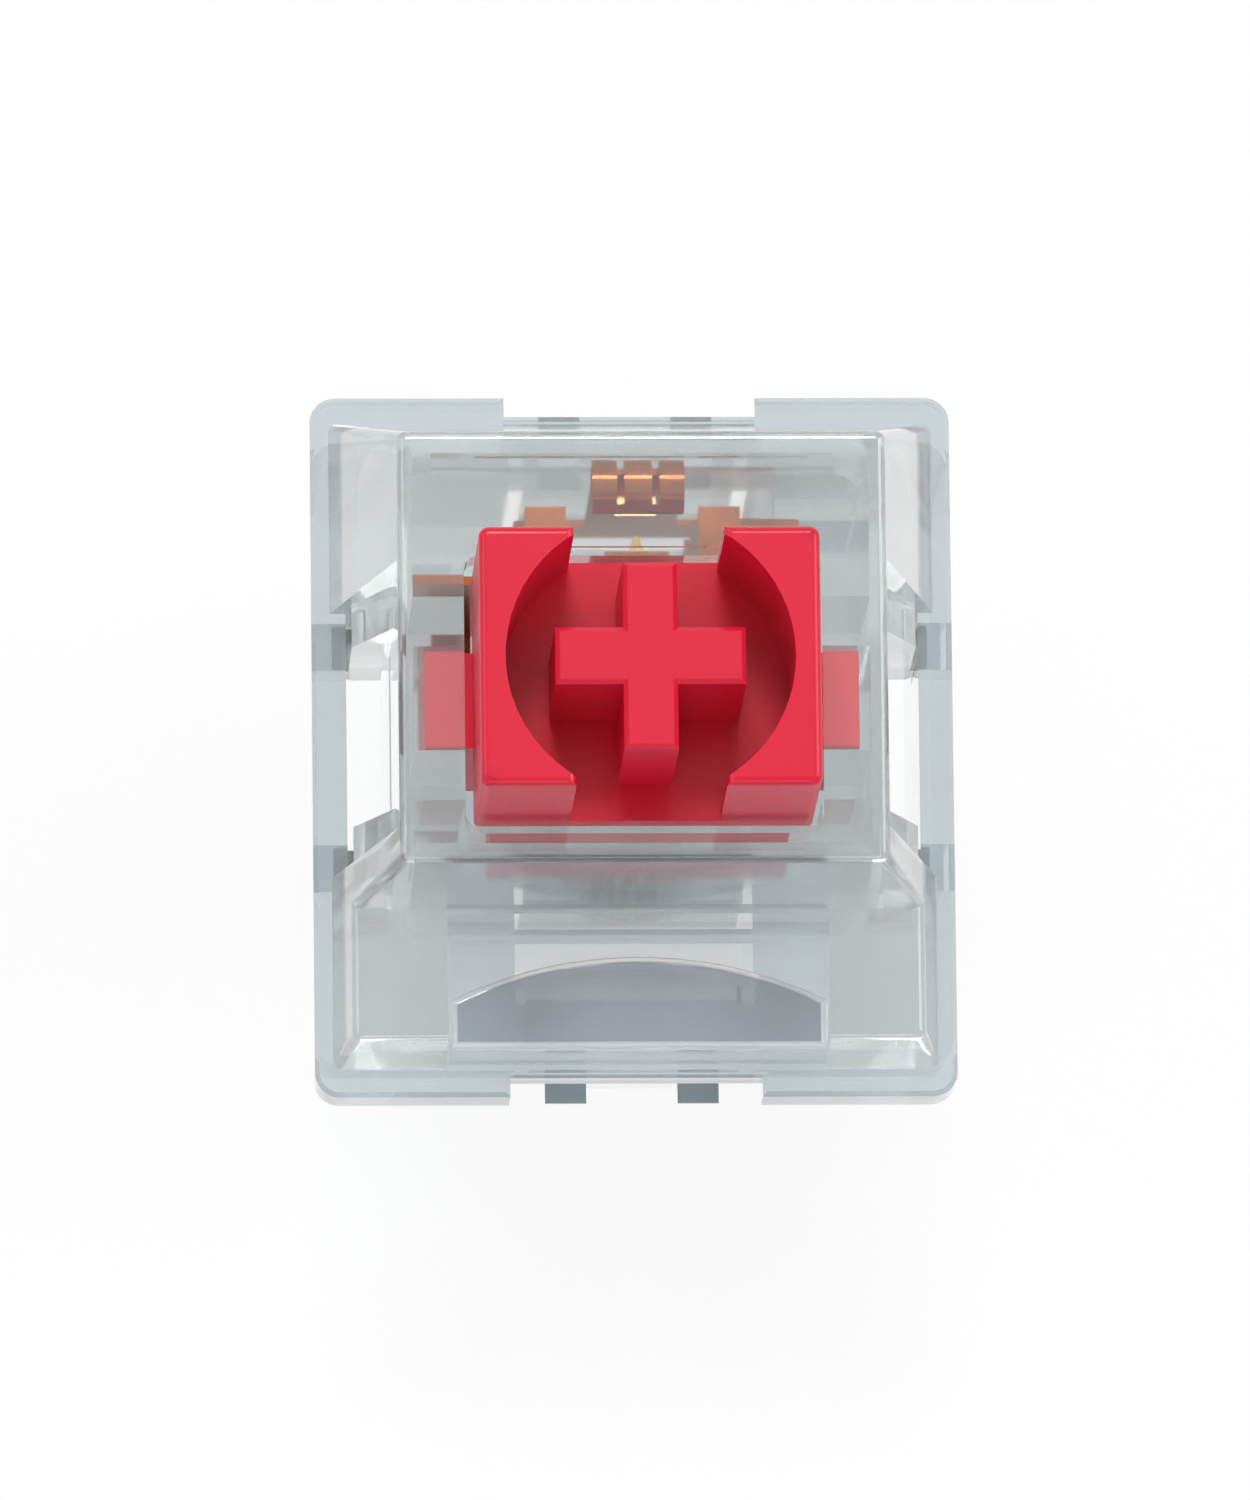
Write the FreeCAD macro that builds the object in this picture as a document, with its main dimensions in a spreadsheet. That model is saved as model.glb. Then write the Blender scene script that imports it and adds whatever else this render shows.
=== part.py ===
"""Linear keyboard switch in a clear housing, with a red dust-proof stem.

The frame's origin is on the centre post's axis at the circuit board's top face. +Z points up
through the keycap cross, +Y to the contact side and -Y to the light side. Lengths are in millimetres.

Ten pieces make the switch: the lower housing with its centre post and plate clips, the upper
housing with its four latch legs, the light guide, the stem, the return spring, the fixed contact,
the leaf terminal, the contact leaf that flexes on it, and a cross point on each contact.
"""
import FreeCAD, Part

import math
import os

import Sketcher

V = FreeCAD.Vector

# The driving dimensions: alias, value or spreadsheet formula, what it is
SIZES = [
    # whole switch
    ("travel", 4.0, "how far the stem goes down"),
    ("running", 0.05, "clearance between pieces that slide or snap together"),
    ("seat_gap", 0.02, "what is left under the upper housing and the light guide"),
    ("cutout", 14.0, "square cut-out in the plate, which the outer sizes follow"),
    ("board_gap", 5.0, "height of the plate seat above the circuit board"),
    # lower housing
    ("flange_wide", "=cutout", "flange across the latch sides"),
    ("flange_deep", "=cutout + 1.6", "flange across the plate clip sides"),
    ("flange_tall", 1.0, "flange thickness"),
    ("flange_round", 0.55, "round of the flange's corners"),
    ("notch_wide", 5.5, "notch in the flange over each plate clip"),
    ("notch_deep", 0.42, "depth of that notch"),
    ("relief_tall", 0.3, "relief under the flange over each plate clip"),
    ("base_size", "=cutout - 0.1", "lower body at the flange, both ways"),
    ("base_draft", 2.0, "draft of the lower body, degrees"),
    ("base_foot", "=base_size / 2 - 0.75", "foot of the base's clip sides at the board, from the centre"),
    ("base_knee", 3.4, "height where those sides turn upright"),
    ("floor_tall", 1.2, "thickness of the lower housing's floor"),
    ("well_wide", "=cutout - 4.1", "inside width of both housings between the latch sides"),
    ("well_north", "=cutout / 2 - 1", "inside wall of the well on the contact side, from the centre"),
    ("well_south", "=cutout / 2 - 3.5", "inside wall of the well on the light side, from the centre"),
    ("well_round", 0.4, "round of the well's upright corners"),
    ("post_radius", 2.0, "radius of the centre post"),
    ("post_long", 3.3, "length of the centre post below the board's top face"),
    ("post_edge", 0.35, "chamfer of the centre post"),
    ("tube_radius", 1.75, "radius of the tube that guides the stem's pole"),
    ("tube_top", 3.4, "top of that tube above the board"),
    ("tube_root", 0.12, "round at the tube's root"),
    ("lamp_wide", 5.2, "width of the lamp slot through the lower housing"),
    ("lamp_north", "=lamp_south - 1.45", "near wall of the lamp slot, from the centre"),
    ("lamp_south", "=cutout / 2 - 1.3", "far wall of the lamp slot, from the centre"),
    ("clip_wide", 4.6, "width of the plate clip's tongue"),
    ("clip_slit", 0.32, "width of the slits beside the tongue"),
    ("clip_back", 0.25, "how far the tongue's foot stands inside the well's wall"),
    ("clip_rib", "=base_size / 2 - 0.53", "foot of the rib down the tongue, from the centre"),
    ("clip_root", 4.5, "height of the tongue's root above the board"),
    ("barb_near", 1.0, "inner side of a clip barb, from the centre"),
    ("barb_far", 1.9, "outer side of a clip barb, from the centre"),
    ("barb_reach", "=cutout / 2 + 0.45", "how far a clip barb stands out, from the centre"),
    ("barb_tall", 1.3, "height of a clip barb"),
    ("plate_thick", 1.5, "plate that the clips hold"),
    ("latch_near", "=side_face + 0.02", "inner wall of a latch slot, from the centre"),
    ("latch_far", "=leg_far + 0.1", "outer wall of a latch slot, from the centre"),
    ("latch_half", 2.95, "half length of a latch slot"),
    ("latch_floor", 3.2, "bottom of a latch window above the board"),
    ("catch_level", 4.5, "underside of the catch above the board"),
    ("lip_tall", 0.9, "lip that locates the upper housing"),
    ("lip_thick", "=cap_base_north - cap_wall - well_north - 0.3", "thickness of that lip"),
    ("rib_thick", 0.5, "thickness of the ribs and legs' roots"),
    ("lip_wide", "=well_wide - 1.1", "width of that lip"),
    # upper housing
    ("cap_level", 11.6, "top face of the upper housing above the board"),
    ("cap_thick", 0.9, "thickness of its top wall"),
    ("cap_base_wide", "=cutout - 0.8", "upper housing at the flange, across the latch sides"),
    ("cap_base_north", "=cutout / 2 + 0.2", "upper housing at the flange, contact side, from the centre"),
    ("cap_base_south", "=well_south + 0.6", "tall part at the flange, light side, from the centre"),
    ("cap_top_wide", "=cap_base_wide - 2.7", "top face across the latch sides"),
    ("cap_top_north", "=cap_base_north - 1.45", "top face on the contact side, from the centre"),
    ("cap_top_south", "=cap_base_south - 0.35", "top face on the light side, from the centre"),
    ("cap_wall", 0.55, "sloping wall on the contact side"),
    ("cap_edge", 0.22, "round of the upper housing's outer edges"),
    ("shelf_level", 7.7, "top of the low shelf round the light guide"),
    ("shelf_south", "=cutout / 2 + 0.2", "shelf at the flange, from the centre"),
    ("shelf_lean", 0.35, "how far the shelf's front leans in"),
    ("mouth_wide", "=box_wide + 0.4", "stem opening across the latch sides"),
    ("mouth_deep", "=box_deep + 0.28", "stem opening across the clip sides"),
    ("mouth_round", 0.3, "round of the stem opening's corners"),
    ("side_face", "=cutout / 2 - 1.7", "upright side wall between the corners, from the centre"),
    ("leg_wide", 0.95, "width of a latch leg"),
    ("leg_near", "=latch_near + 0.1", "inner face of a latch leg below the flange, from the centre"),
    ("leg_far", "=cutout / 2 - 0.85", "outer face of a latch leg, from the centre"),
    ("leg_hook", "=latch_far + 0.27", "tip of a latch leg's hook, from the centre"),
    ("leg_end", 3.55, "end of a latch leg above the board"),
    ("leg_shoulder", "=cap_level - 2.2", "top of a latch leg's shoulder above the board"),
    ("guide_rib", 1.1, "width of the ribs beside a stem rail"),
    ("name_wide", "=cap_top_wide - 3.3", "recess in the top face, left bare"),
    ("name_deep", 2.0, "depth of that recess front to back"),
    ("name_sunk", 0.2, "how far that recess is sunk"),
    # light guide
    ("guide_wide", 8.2, "width of the light guide"),
    ("guide_south", "=cutout / 2 + 0.05", "outer face of the light guide, from the centre"),
    ("guide_side", "=guide_south - 1.1", "where the lens face meets the sides, from the centre"),
    ("guide_lens", 9.2, "radius of the lens face"),
    ("guide_seat", 5.2, "seat of the light guide above the board"),
    ("guide_tall", 2.3, "height of the light guide above its seat"),
    ("guide_peg", 3.8, "length of the peg that reaches down to the lamp"),
    ("peg_thick", 0.6, "thickness of that peg"),
    ("guide_edge", 0.18, "round of the light guide's top edge"),
    # stem
    ("stem_rise", 3.6, "height of the stem above the upper housing at rest"),
    ("box_wide", "=cutout - 6.66", "dust wall across the latch sides"),
    ("box_deep", "=box_wide - 1.64", "dust wall across the clip sides"),
    ("box_round", 0.22, "round of the dust wall's upright corners"),
    ("socket_radius", "=box_wide / 2 - 0.55", "round socket that takes the keycap's post"),
    ("socket_deep", 3.7, "depth of the socket"),
    ("socket_gap", "=socket_radius + 0.12", "gap in the dust wall on both clip sides"),
    ("cross_long", 4.1, "length of the cross's arms"),
    ("cross_thin", 1.17, "thickness of the arm that runs between the clip sides"),
    ("cross_thick", 1.25, "thickness of the arm that runs between the latch sides"),
    ("cross_edge", 0.1, "chamfer on top of the cross and of the flange"),
    ("wall_edge", 0.18, "round on top of the dust wall's outside"),
    ("body_wide", "=box_wide - 0.84", "slider body across the latch sides"),
    ("body_deep", 5.2, "slider body across the clip sides"),
    ("skirt_level", 6.2, "bottom of the slider above the board at rest"),
    ("rail_reach", "=well_wide / 2 - 0.25", "outer face of a stem rail, from the centre"),
    ("rail_half", 1.05, "half width of a stem rail"),
    ("pole_radius", 1.15, "radius of the stem's pole"),
    ("pole_edge", 0.4, "chamfer at the pole's tip"),
    ("pole_gap", 0.1, "clearance between the pole and its bore"),
    ("foot_gap", 0.1, "what is left under the pole with the stem right down"),
    ("spring_room", 2.5, "radius of the spring chamber in the slider"),
    ("ramp_near", 1.45, "inner side of a ramp leg, from the centre"),
    ("ramp_far", 2.35, "outer side of a ramp leg, from the centre"),
    ("ramp_low", 3.25, "ramp face at its foot, from the centre"),
    ("ramp_high", 2.88, "ramp face at its head, from the centre"),
    ("ramp_foot", 6.6, "where the ramp starts above the board at rest"),
    # spring
    ("spring_top", "=cap_level - 2.2", "top of the spring above the board at rest"),
    ("wire", 0.28, "diameter of the spring's wire"),
    ("coil_radius", 2.08, "mean radius of the spring"),
    ("coil_closed", 1.04, "rise of a closed end turn, in wire diameters"),
    ("coil_gap", 0.01, "what is left between the spring's ends and their seats"),
    ("coil_turns", 9.0, "turns of the spring, with one closed turn at each end"),
    # contacts
    ("sheet", 0.2, "thickness of the terminals' sheet"),
    ("bridge_share", 0.62, "top of the fixed contact's bridge, as a share of its wing's height"),
    ("wing_wide", 1.5, "width of the fixed contact's wing"),
    ("window_side", 2.2, "fixed contact's window, from the wing's outer edge"),
    ("terminal_side", 1.25, "left edge of the leaf terminal, from its pin"),
    ("leaf_side", 1.15, "left edge of the leaf's root, from the pin"),
    ("leaf_low", 0.9, "underside of the leaf's cross bar, from its foot"),
    ("leaf_band", 2.1, "top of the leaf's cross bar, from its foot"),
    ("leaf_margin", 0.3, "how much wider the leaf's tongue is than the fixed one, each side"),
    ("finger_near", 0.3, "near side of a slit in the rolled top, from the centre"),
    ("finger_far", 0.46, "far side of that slit, from the centre"),
    ("leaf_sheet", 0.14, "thickness of the leaf's sheet"),
    ("pin_wide", 0.9, "width of a terminal pin"),
    ("pin_tip", 0.45, "width of a pin's tip"),
    ("pin_taper", 0.6, "length of a pin's tapered tip"),
    ("fixed_pin_west", 3.81, "fixed contact's pin towards the left, from the centre"),
    ("fixed_pin_north", 2.54, "fixed contact's pin towards the contact side"),
    ("leaf_pin_east", 2.54, "leaf terminal's pin towards the right, from the centre"),
    ("leaf_pin_north", 5.08, "leaf terminal's pin towards the contact side"),
    ("slot_gap", 0.03, "clearance round a pin in the floor"),
    ("fixed_north", 3.5, "face of the fixed contact towards the stem, from the centre"),
    ("fixed_west", "=well_wide / 2 - 0.05", "outer edge of the fixed contact, from the centre"),
    ("wing_level", 6.4, "top of the fixed contact's wing above the board"),
    ("tongue_wide", 1.4, "width of both contacts' middle tongues"),
    ("tongue_level", "=cap_level - 2.9", "top of the fixed contact's tongue above the board"),
    ("leaf_root", 3.35, "foot of the leaf above the board, where it flexes"),
    ("leaf_west", 2.4, "left edge of the leaf, from the centre"),
    ("leaf_east", 3.7, "right edge of the leaf and its terminal, from the centre"),
    ("leaf_top", "=cap_level - 2.6", "where the leaf's middle tongue starts to lean back"),
    ("lean_tall", 0.4, "height of that lean"),
    ("lean_back", 0.42, "how far it leans back before it rolls over"),
    ("roll_radius", 0.6, "outer radius of the roll"),
    ("arm_level", 6.74, "top of the arms that ride on the ramps"),
    ("arm_gap", 0.03, "clearance between an arm and its ramp"),
    ("point_level", "=cap_level - 3.5", "height of the cross points above the board"),
    ("point_long", 0.9, "length of a cross point"),
    ("point_tall", 0.38, "how far a cross point stands off its contact"),
    ("point_wide", 0.4, "width of a cross point's base"),
]


class Size:
    """A length as the text of a document expression, with its value now beside it."""

    def __init__(self, text, value):
        self.text = text
        self.value = float(value)

    def _with(self, other, sign, swap=False):
        other = other if isinstance(other, Size) else Size(repr(float(other)), other)
        a, b = (other, self) if swap else (self, other)
        value = {"+": lambda: a.value + b.value, "-": lambda: a.value - b.value,
                 "*": lambda: a.value * b.value, "/": lambda: a.value / b.value}[sign]()
        return Size(f"({a.text} {sign} {b.text})", value)

    def __add__(self, other):
        return self._with(other, "+")

    def __radd__(self, other):
        return self._with(other, "+", swap=True)

    def __sub__(self, other):
        return self._with(other, "-")

    def __rsub__(self, other):
        return self._with(other, "-", swap=True)

    def __mul__(self, other):
        return self._with(other, "*")

    def __rmul__(self, other):
        return self._with(other, "*", swap=True)

    def __truediv__(self, other):
        return self._with(other, "/")

    def __neg__(self):
        return self._with(-1, "*")


doc = FreeCAD.newDocument("keyboard_switch")


class Sizes:
    """The spreadsheet of driving dimensions, read as attributes."""


def make_sheet():
    """Writes the driving dimensions into the document's spreadsheet and returns them by alias."""
    sheet = doc.addObject("Spreadsheet::Sheet", "sizes")
    found = Sizes()
    for row, (alias, value, note) in enumerate(SIZES, start=1):
        sheet.set(f"A{row}", note)
        sheet.setAlias(f"B{row}", alias)
    for row, (alias, value, note) in enumerate(SIZES, start=1):
        sheet.set(f"B{row}", str(value))
    doc.recompute()
    for alias, value, note in SIZES:
        setattr(found, alias, Size(f"sizes.{alias}", getattr(sheet, alias)))
    return found


s = make_sheet()
ZERO = Size("0", 0)


def bind(obj, prop, size):
    """Ties a property to the spreadsheet."""
    obj.setExpression(prop, size.text)


def plane(body, role):
    """One of a body's own origin planes."""
    return [f for f in body.Origin.OriginFeatures if f.Role == role + "_Plane"][0]


def new_body(label):
    body = doc.addObject("PartDesign::Body", label)
    body.Label = label
    return body


def new_sketch(body, name, role, level):
    """An empty sketch on an origin plane, lifted along the plane's normal by level."""
    sketch = body.newObject("Sketcher::SketchObject", name)
    sketch.AttachmentSupport = (plane(body, role), [""])
    sketch.MapMode = "FlatFace"
    if level is not ZERO:
        bind(sketch, "AttachmentOffset.Base.z", level)
    return sketch


def hold(sketch, kind, vertex, size):
    """Places one vertex along one direction with a bound dimension."""
    k = sketch.addConstraint(Sketcher.Constraint(kind, -1, 1, *vertex, size.value))
    sketch.setExpression(f"Constraints[{k}]", size.text)


def as_size(x):
    return x if isinstance(x, Size) else Size(repr(float(x)), x)


def arc_between(p, q, radius):
    """The arc of that radius from p to q, turning left on the way."""
    a, b = V(p[0], p[1], 0), V(q[0], q[1], 0)
    half = (b - a) / 2
    rise = math.sqrt(max(radius**2 - half.Length**2, 0.0))
    centre = a + half + V(-half.y, half.x, 0).normalize() * rise
    start = math.atan2(a.y - centre.y, a.x - centre.x)
    end = math.atan2(b.y - centre.y, b.x - centre.x)
    return Part.ArcOfCircle(Part.Circle(centre, V(0, 0, 1), radius), start, end)


def outline(sketch, points, arcs=None):
    """A closed outline through points, anticlockwise. arcs gives the radius of the edge after a point."""
    arcs = arcs or {}
    points = [(as_size(x), as_size(y)) for x, y in points]
    spots = [(x.value, y.value) for x, y in points]
    first = sketch.GeometryCount
    n = len(points)
    for i, p in enumerate(spots):
        q = spots[(i + 1) % n]
        if i in arcs:
            edge = arc_between(p, q, arcs[i].value)
        else:
            edge = Part.LineSegment(V(p[0], p[1], 0), V(q[0], q[1], 0))
        sketch.addGeometry(edge)
    for i in range(n):
        sketch.addConstraint(Sketcher.Constraint("Coincident", first + i, 2, first + (i + 1) % n, 1))
    for i, (x, y) in enumerate(points):
        hold(sketch, "DistanceX", (first + i, 1), x)
        hold(sketch, "DistanceY", (first + i, 1), y)
    for i, radius in arcs.items():
        k = sketch.addConstraint(Sketcher.Constraint("Radius", first + i, radius.value))
        sketch.setExpression(f"Constraints[{k}]", radius.text)


def circle(sketch, radius, x=ZERO, y=ZERO):
    """A circle about a point."""
    i = sketch.addGeometry(Part.Circle(V(x.value, y.value, 0), V(0, 0, 1), radius.value))
    hold(sketch, "DistanceX", (i, 3), x)
    hold(sketch, "DistanceY", (i, 3), y)
    k = sketch.addConstraint(Sketcher.Constraint("Radius", i, radius.value))
    sketch.setExpression(f"Constraints[{k}]", radius.text)


def rectangle(x0, x1, y0, y1):
    """The corners of a rectangle, anticlockwise."""
    return [(x0, y0), (x1, y0), (x1, y1), (x0, y1)]


def flipped(points):
    """An outline's mirror image across the sketch's upright axis, still anticlockwise."""
    return [(-as_size(x), y) for x, y in reversed(points)]


def both_sides(points):
    """An outline and its mirror image."""
    return [points, flipped(points)]


def pad(body, name, role, level, length, outlines, up=True, draft=None, arcs=None):
    """Adds outlines drawn on a plane at a level, pushed along the plane's normal or against it."""
    sketch = new_sketch(body, name + "_sketch", role, level)
    for points in outlines:
        outline(sketch, points, arcs)
    feature = body.newObject("PartDesign::Pad", name)
    feature.Profile = sketch
    feature.Reversed = not up
    bind(feature, "Length", length)
    if draft is not None:
        bind(feature, "TaperAngle", draft)
    doc.recompute()
    return feature


def pocket(body, name, role, level, length, outlines, up=False, arcs=None):
    """Removes outlines drawn on a plane at a level, downwards unless up is set."""
    sketch = new_sketch(body, name + "_sketch", role, level)
    for points in outlines:
        outline(sketch, points, arcs)
    feature = body.newObject("PartDesign::Pocket", name)
    feature.Profile = sketch
    feature.Reversed = up
    bind(feature, "Length", length)
    check_cut(body, feature, sketch)
    return feature


def check_cut(body, feature, sketch):
    """Stops the build if a cut took nothing away."""
    before = feature.BaseFeature.Shape.Volume
    doc.recompute()
    after = feature.Shape.Volume
    if not after < before:
        raise ValueError(f"{feature.Name} in {body.Label} cuts nothing: {before:.4f} to {after:.4f}")


def round_pocket(body, name, radius, level, length, up=False):
    sketch = new_sketch(body, name + "_sketch", "XY", level)
    circle(sketch, radius)
    feature = body.newObject("PartDesign::Pocket", name)
    feature.Profile = sketch
    feature.Reversed = up
    bind(feature, "Length", length)
    check_cut(body, feature, sketch)
    return feature


def turned(body, name, kind, points):
    """Adds or removes a profile of (radius, height) points turned about the Z axis."""
    sketch = new_sketch(body, name + "_sketch", "XZ", ZERO)
    outline(sketch, points)
    feature = body.newObject("PartDesign::" + kind, name)
    feature.Profile = sketch
    feature.ReferenceAxis = ([f for f in body.Origin.OriginFeatures if f.Role == "Z_Axis"][0], [""])
    feature.Angle = 360
    doc.recompute()
    return feature


def edges_where(feature, test):
    """The names of a feature's edges that pass a test on the edge."""
    return [f"Edge{i}" for i, e in enumerate(feature.Shape.Edges, start=1) if test(e)]


def upright(e):
    """Is this a straight edge that stands nearly upright?"""
    ends = [v.Point for v in e.Vertexes]
    if len(ends) < 2:
        return False
    reach = ends[-1] - ends[0]
    return abs(e.Length - reach.Length) < 1e-4 and abs(reach.z) > 0.9 * reach.Length


def level_at(e, z):
    """Does the whole edge lie at height z?"""
    return all(abs(v.Point.z - z) < 1e-4 for v in e.Vertexes) and e.BoundBox.ZLength < 1e-4


def dress(body, name, kind, base, edges, size):
    """Fillets or chamfers edges of a feature."""
    feature = body.newObject("PartDesign::" + kind, name)
    feature.Base = (base, edges)
    bind(feature, "Radius" if kind == "Fillet" else "Size", size)
    doc.recompute()
    return feature


def inside(e, x=None, y=None, z=None):
    """Does the edge's middle lie within these ranges?"""
    c = e.CenterOfMass
    for value, span in ((c.x, x), (c.y, y), (c.z, z)):
        if span and not span[0] <= value <= span[1]:
            return False
    return True


# Lower housing: tapered base, flange, centre post, guide tube, plate clips and latch slots

def flange_outline():
    """The flange, with a notch over each plate clip."""
    w, d = s.flange_wide / 2, s.flange_deep / 2
    n, m = s.notch_wide / 2, s.flange_deep / 2 - s.notch_deep
    return [(-w, -d), (-n, -d), (-n, -m), (n, -m), (n, -d), (w, -d),
            (w, d), (n, d), (n, m), (-n, m), (-n, d), (-w, d)]


def add_plate_clips(body):
    """Frees a tongue in the wall on both clip sides and puts two barbs on each."""
    half = s.clip_wide / 2
    wall_out = s.base_size / 2 + s.running
    foot = s.well_north - s.clip_back
    for side, near in (("north", foot - s.clip_slit), ("south", -s.lamp_south + s.running)):
        far = wall_out if side == "north" else -wall_out
        low, high = (near, far) if side == "north" else (far, near)
        slits = both_sides(rectangle(half, half + s.clip_slit, low, high))
        pocket(body, f"clip_slits_{side}", "XY", s.clip_root, s.clip_root, slits)
    gap = rectangle(-half - s.clip_slit, half + s.clip_slit, foot - s.clip_slit, foot)
    pocket(body, "clip_foot_north", "XY", s.floor_tall, s.floor_tall, [gap])
    rib = [(foot + s.clip_slit, ZERO), (s.clip_rib, ZERO), (s.base_size / 2 - s.running, s.base_knee),
           (foot + s.clip_slit, s.base_knee)]
    pad(body, "clip_ribs", "YZ", -s.barb_near, s.barb_near * 2, [rib, flipped(rib)])
    root = s.base_size / 2 - s.notch_deep
    top = s.board_gap - s.plate_thick - s.running
    for name, near, far in (("east", s.barb_near, s.barb_far), ("west", -s.barb_far, -s.barb_near)):
        wedge = [(root, top - s.barb_tall), (s.barb_reach, top), (root, top)]
        pad(body, f"clip_barbs_{name}", "YZ", near, far - near, [wedge, flipped(wedge)])


def add_latch_slots(body):
    """Slots right through for the upper housing's legs, with a window to the outside for each hook."""
    rim = s.board_gap + s.flange_tall
    end = s.latch_half + s.running
    slot = rectangle(s.latch_near, s.latch_far, -end, end)
    pocket(body, "latch_slots", "XY", rim, rim, both_sides(slot))
    ends = []
    inner = s.latch_half - s.leg_wide - s.running
    for low, high in ((inner, end), (-end, -inner)):
        window = rectangle(s.latch_far - s.running, s.cutout / 2, low, high)
        ends += both_sides(window)
    pocket(body, "latch_windows", "XY", s.catch_level, s.catch_level - s.latch_floor, ends)


def add_terminal_slots(body):
    """A slot through the floor for each terminal pin."""
    slots = []
    for x, y in ((-s.fixed_pin_west, s.fixed_pin_north), (s.leaf_pin_east, s.leaf_pin_north)):
        w, t = s.pin_wide / 2 + s.slot_gap, s.sheet / 2 + s.slot_gap
        slots.append(rectangle(x - w, x + w, y - t, y + t))
    pocket(body, "pin_slots", "XY", s.floor_tall, s.floor_tall, slots)


def add_contact_holders(body):
    """Ribs that grip the fixed contact's wing and the leaf terminal's edge."""
    wall = s.well_wide / 2 + s.running
    grip = s.board_gap - s.floor_tall
    behind = s.fixed_north + s.sheet + s.slot_gap
    rib = s.rib_thick
    west = rectangle(-wall, -s.fixed_west + 2 * rib, behind, behind + rib)
    pocket_side = s.leaf_pin_north + s.sheet / 2 + s.slot_gap
    east = rectangle(s.leaf_east - rib, wall, pocket_side, pocket_side + rib)
    pad(body, "contact_holders", "XY", s.floor_tall, grip, [west, east])


def make_lower_housing():
    body = new_body("lower_housing")
    half = s.base_size / 2
    rim = s.board_gap + s.flange_tall
    base = pad(body, "base", "XY", s.board_gap, s.board_gap, [rectangle(-half, half, -half, half)],
               up=False, draft=-s.base_draft)
    corners = edges_where(base, upright)
    dress(body, "base_rounds", "Fillet", base, corners, s.flange_round)
    outer = half + s.running
    slope = [(s.base_foot, ZERO), (outer, ZERO), (outer, s.base_knee), (half - s.running, s.base_knee)]
    pocket(body, "base_slopes", "YZ", -outer, outer * 2, [slope, flipped(slope)], up=True)
    flange = pad(body, "flange", "XY", s.board_gap, s.flange_tall, [flange_outline()])
    reach = s.flange_wide.value / 2 - 0.01
    corners = edges_where(flange, lambda e: upright(e) and abs(e.CenterOfMass.x) > reach
                          and abs(e.CenterOfMass.y) > reach)
    rounded = dress(body, "flange_rounds", "Fillet", flange, corners, s.flange_round)
    crown = edges_where(rounded, lambda e: level_at(e, rim.value))
    dress(body, "flange_edge", "Chamfer", rounded, crown, s.cross_edge)
    well = rectangle(-s.well_wide / 2, s.well_wide / 2, -s.well_south, s.well_north)
    cut = pocket(body, "well", "XY", rim, rim - s.floor_tall, [well])
    side = s.well_wide.value / 2 + 0.01
    corners = edges_where(cut, lambda e: upright(e) and inside(
        e, x=(-side, side), y=(-s.well_south.value - 0.01, s.well_north.value + 0.01)))
    dress(body, "well_rounds", "Fillet", cut, corners, s.well_round)
    relief = both_clip_sides(s.notch_wide / 2, s.base_size / 2, s.flange_deep / 2)
    pocket(body, "clip_relief", "XY", s.board_gap + s.relief_tall, s.relief_tall, relief)
    add_tube_and_post(body)
    add_lamp_slot(body)
    add_contact_holders(body)
    add_terminal_slots(body)
    add_plate_clips(body)
    add_latch_slots(body)
    lip_south = s.well_north
    lip = rectangle(-s.lip_wide / 2, s.lip_wide / 2, lip_south, lip_south + s.lip_thick)
    pad(body, "lip", "XY", rim, s.lip_tall, [lip])
    return body


def both_clip_sides(half, near, far):
    """A band on each clip side, between near and far from the centre."""
    return [rectangle(-half, half, near, far), rectangle(-half, half, -far, -near)]


def add_tube_and_post(body):
    """The guide tube and centre post, turned in one, with the pole's bore through the tube."""
    r, e = s.post_radius, s.post_edge
    post = [(ZERO, -s.post_long), (r - e, -s.post_long), (r, e - s.post_long), (r, s.floor_tall / 2),
            (ZERO, s.floor_tall / 2)]
    turned(body, "centre_post", "Revolution", post)
    t, k = s.tube_radius, s.tube_root
    tube = [(ZERO, s.floor_tall / 2), (t + k, s.floor_tall / 2), (t + k, s.floor_tall),
            (t, s.floor_tall + k), (t, s.tube_top), (ZERO, s.tube_top)]
    turned(body, "guide_tube", "Revolution", tube)
    bore = s.pole_radius + s.pole_gap
    foot = pole_tip() - s.travel - s.foot_gap
    flare = s.pole_gap
    well = [(ZERO, foot), (bore - s.pole_edge, foot), (bore, foot + s.pole_edge), (bore, s.tube_top - flare),
            (bore + flare, s.tube_top), (ZERO, s.tube_top)]
    turned(body, "pole_bore", "Groove", well)


def pole_tip():
    """Height of the pole's tip at rest, which goes as deep as the post's bore allows."""
    return s.tube_top - s.floor_tall


def add_lamp_slot(body):
    """The slot for a lamp, and the seat round it that carries the light guide."""
    rim = s.board_gap + s.flange_tall
    wide = s.guide_wide / 2 + s.running
    seat = rectangle(-wide, wide, -s.guide_south - s.running, s.running - s.cap_base_south)
    pocket(body, "guide_seat", "XY", rim, rim - s.guide_seat, [seat])
    slot = rectangle(-s.lamp_wide / 2, s.lamp_wide / 2, -s.lamp_south, -s.lamp_north)
    pocket(body, "lamp_slot", "XY", s.guide_seat, s.guide_seat, [slot])


# Upper housing: sloping clear cap with the stem opening, low shelf, rail guides and latch legs

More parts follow.
